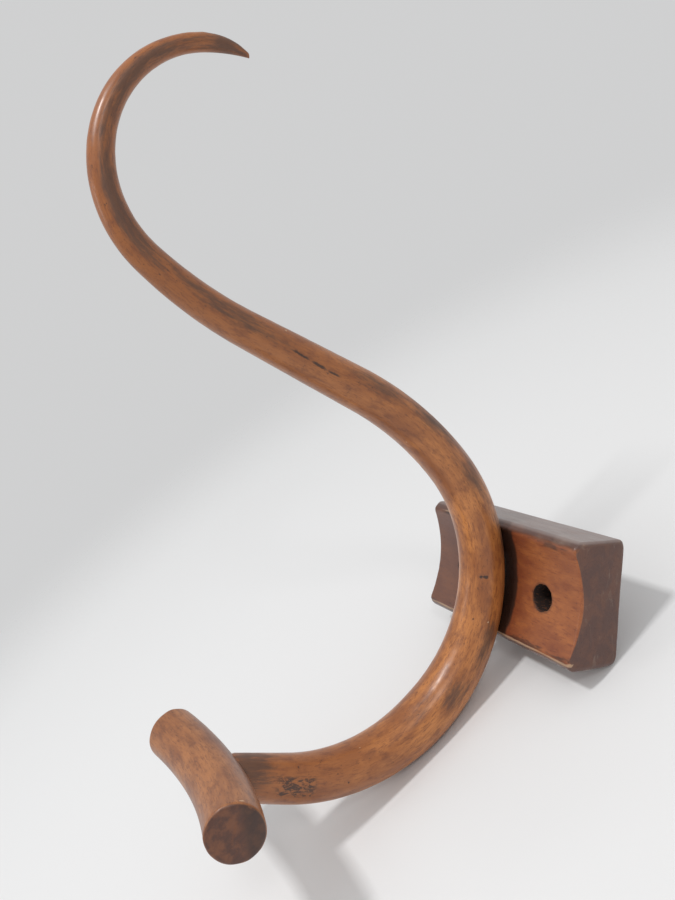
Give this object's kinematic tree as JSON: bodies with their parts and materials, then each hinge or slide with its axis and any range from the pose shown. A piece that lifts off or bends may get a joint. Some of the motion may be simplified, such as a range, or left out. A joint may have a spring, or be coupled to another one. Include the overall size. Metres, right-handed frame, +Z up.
{
  "type": "bentwood wall hook",
  "caption": "Bentwood S-shaped wall hook for harness and horse collars, on a coved wall block, with a curved crossbar closing the lower bowl.",
  "frame": {"origin": "middle of the wall block's flat back face, where it meets the wall", "axes": "+Z up the wall, +Y into the wall, +X to the right seen from the front"},
  "size_m": [0.147, 0.2927, 0.421],
  "materials": {
    "block_wood": "old dark varnish, rubbed to orange in the hollow",
    "arm_wood": "honey to orange-brown varnish with dark grime",
    "bar_wood": "orange-brown varnish, worn at the ends",
    "dowel_wood": "bare beech",
    "screw_steel": "dulled, lightly rusted steel"
  },
  "bodies": {
    "root": {"wall_block": "block_wood", "hook_arm": "arm_wood", "crossbar": "bar_wood", "crossbar_dowel": "dowel_wood", "arm_screws": "screw_steel"}
  },
  "joints": []
}
